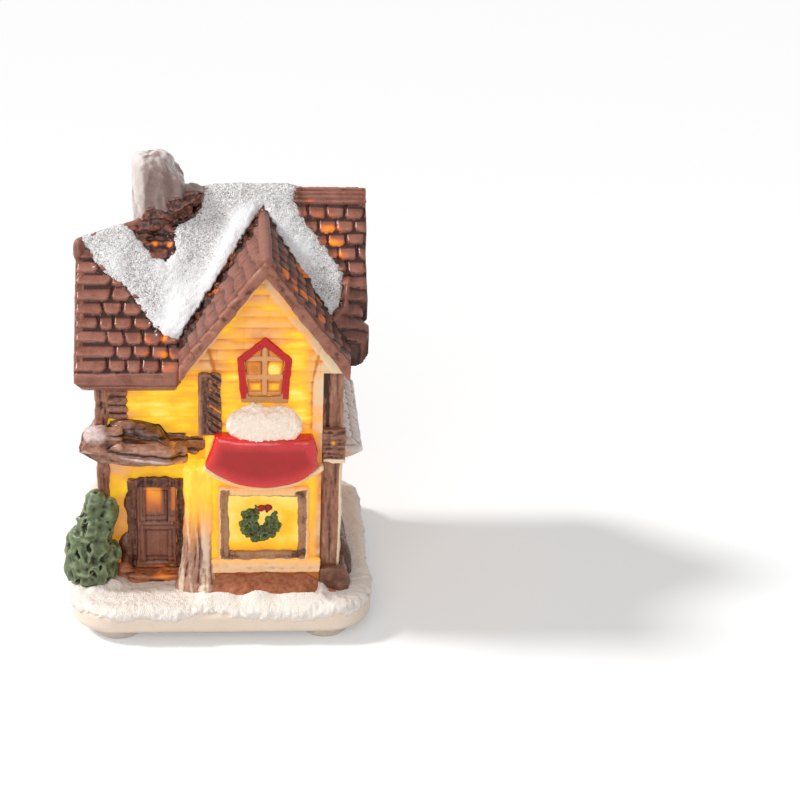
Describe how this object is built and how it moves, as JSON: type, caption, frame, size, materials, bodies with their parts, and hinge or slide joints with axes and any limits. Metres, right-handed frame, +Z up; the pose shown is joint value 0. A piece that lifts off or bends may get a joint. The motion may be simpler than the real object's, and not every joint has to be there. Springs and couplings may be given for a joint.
{
  "type": "ceramic village house",
  "caption": "Glazed ceramic village house with shingled roof, front gable, shop window, door canopy, chimney, snow and an LED light unit in its base.",
  "frame": {"origin": "centre of the base at the level of the feet's undersides", "axes": "+Z up, -Y out of the door side, +X to the right seen from the front"},
  "size_m": [0.0616, 0.06, 0.0909],
  "materials": {
    "cream_glaze": "gloss",
    "snow": "granular, with glitter",
    "lit_wall": "satin, lit from inside",
    "lit_pane": "satin, lit from inside",
    "roof_brown": "gloss",
    "chimney_grey": "satin",
    "timber_brown": "satin",
    "red_glaze": "gloss",
    "green_glaze": "satin",
    "foot_rubber": "translucent",
    "white_plastic": "matte",
    "black_plastic": "matte",
    "cell_steel": "satin",
    "contact_brass": "satin",
    "board_green": "satin",
    "lamp_amber": "clear"
  },
  "bodies": {
    "house": {"base_plinth": "cream_glaze", "base_snow": "snow", "roof_snow": "snow", "sign_snow": "snow", "house_walls": "lit_wall", "bay_walls": "lit_wall", "bay_sill": "lit_wall", "sign_ledge": "lit_wall", "upper_window_pane": "lit_pane", "lower_window_pane": "lit_pane", "main_roof": "roof_brown", "gable_roof": "roof_brown", "gable_rakes": "roof_brown", "ridge_cap": "roof_brown", "verge_board": "roof_brown", "chimney": "chimney_grey", "door_canopy": "timber_brown", "side_canopy": "timber_brown", "corner_bracket": "timber_brown", "door_frame": "timber_brown", "door_leaf": "timber_brown", "door_knob": "timber_brown", "door_step": "timber_brown", "bay_post_left": "timber_brown", "bay_post_right": "timber_brown", "post_foot": "timber_brown", "upper_post_left": "timber_brown", "wing_corner_post": "timber_brown", "plank_stack": "timber_brown", "lower_window_frame": "timber_brown", "bay_strip": "timber_brown", "side_footing": "timber_brown", "upper_window_frame": "red_glaze", "sign_board": "red_glaze", "wreath_bow": "red_glaze", "wreath": "green_glaze", "shrub": "green_glaze", "foot_front_left": "foot_rubber", "foot_front_right": "foot_rubber", "foot_back_left": "foot_rubber", "foot_back_right": "foot_rubber", "light_unit_housing": "white_plastic", "coin_cell": "cell_steel", "switch_body": "cell_steel", "positive_contact": "contact_brass", "negative_contact": "contact_brass", "circuit_board": "board_green", "led_lamp": "lamp_amber"},
    "cover": {"battery_cover": "white_plastic"},
    "switch": {"switch_slider": "black_plastic"}
  },
  "joints": [
    {"name": "battery_cover_twist", "type": "hinge", "parent": "house", "child": "cover", "pos_m": [-0.002, 0.005, 0.002], "axis": [0, 0, -1], "range_deg": [0, 45]},
    {"name": "switch_slide", "type": "slide", "parent": "house", "child": "switch", "axis": [0, 1, 0], "range_m": [0, 0.002]}
  ]
}
